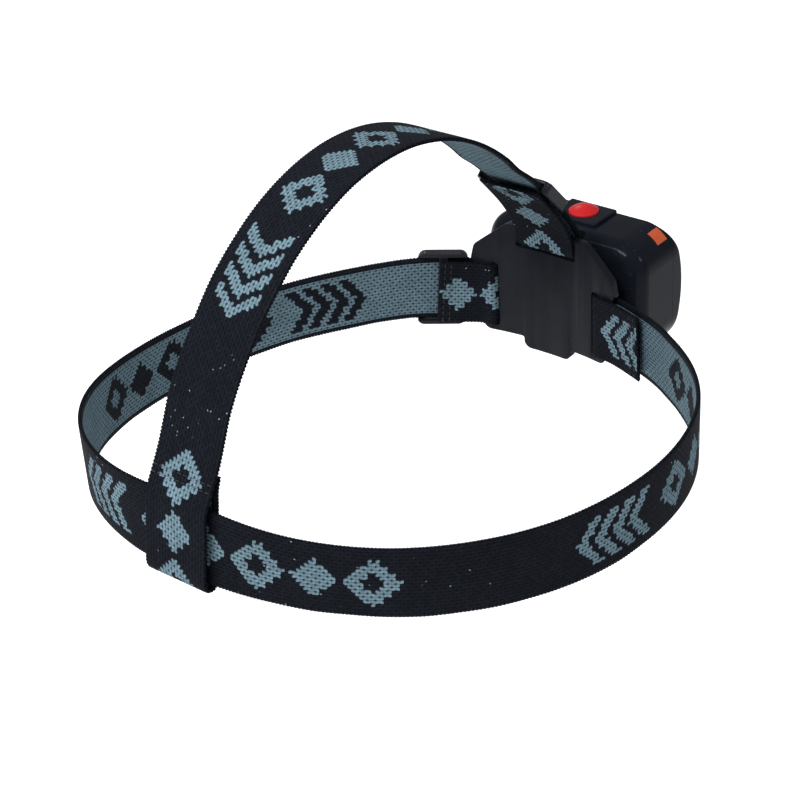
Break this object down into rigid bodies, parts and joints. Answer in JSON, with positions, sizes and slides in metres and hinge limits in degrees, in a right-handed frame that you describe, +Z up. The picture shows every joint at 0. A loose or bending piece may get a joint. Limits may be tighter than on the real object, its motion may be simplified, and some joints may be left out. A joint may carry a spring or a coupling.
{
  "type": "headlamp",
  "caption": "Headlamp with a woven elastic head band, an overhead strap, a tilting lamp housing with a red push button and a hinged front cover.",
  "frame": {"origin": "middle of the head opening, at the mid-height of the head band's usual plane", "axes": "+Z up towards the crown of the head, the lamp looks along -Y, +X is the wearer's left"},
  "size_m": [0.2039, 0.2428, 0.1307],
  "materials": {
    "strap_elastic": "black jacquard elastic",
    "plate_plastic": "black moulded plastic, satin gloss",
    "adjuster_plastic": "black acetal, slight gloss",
    "hinge_steel": "bright steel pin",
    "housing_plastic": "glossy black ABS",
    "insert_orange": "orange plastic",
    "lens_clear": "clear polycarbonate",
    "gasket_rubber": "black rubber",
    "reflector_chrome": "vacuum-metallised plastic",
    "board_metal": "white-masked aluminium board",
    "led_yellow": "phosphor under silicone",
    "spreader_aluminium": "plain rolled aluminium",
    "screw_steel": "zinc-plated steel",
    "button_red": "red silicone rubber",
    "board_green": "glass-fibre board with green mask",
    "switch_black": "black switch body",
    "tray_plastic": "black plastic",
    "cell_jacket": "printed steel can",
    "contact_nickel": "nickel-plated spring steel"
  },
  "bodies": {
    "headgear": {"head_band": "strap_elastic", "overhead_strap": "strap_elastic", "band_adjuster": "adjuster_plastic", "overhead_adjuster": "adjuster_plastic", "forehead_plate": "plate_plastic", "tilt_hinge_pin": "hinge_steel"},
    "lamp_head": {"rear_housing": "housing_plastic", "corner_insert_left": "insert_orange", "corner_insert_right": "insert_orange", "cover_hinge_pin": "hinge_steel", "driver_board": "board_green", "tact_switch": "switch_black", "battery_tray": "tray_plastic", "tray_screws": "screw_steel", "battery_cell_lower": "cell_jacket", "battery_cell_middle": "cell_jacket", "battery_cell_upper": "cell_jacket", "contact_plates": "contact_nickel", "contact_springs": "contact_nickel"},
    "front_cover": {"front_bezel": "housing_plastic", "lens": "lens_clear", "lens_gasket": "gasket_rubber", "reflector": "reflector_chrome", "led_star_board": "board_metal", "led_emitter": "led_yellow", "led_heat_spreader": "spreader_aluminium", "star_board_screws": "screw_steel"},
    "power_button": {"push_button": "button_red"}
  },
  "joints": [
    {"name": "lamp_tilt", "type": "hinge", "parent": "headgear", "child": "lamp_head", "pos_m": [0, -0.11, -0.017], "axis": [1, 0, 0], "range_deg": [0, 60]},
    {"name": "cover_open", "type": "hinge", "parent": "lamp_head", "child": "front_cover", "pos_m": [0, -0.1326, -0.0262], "axis": [1, 0, 0], "range_deg": [0, 95]},
    {"name": "button_press", "type": "slide", "parent": "lamp_head", "child": "power_button", "axis": [0, 0, -1], "range_m": [0, 0.0008], "stiffness_N_per_m": 1500, "springref_m": -0.0004}
  ]
}
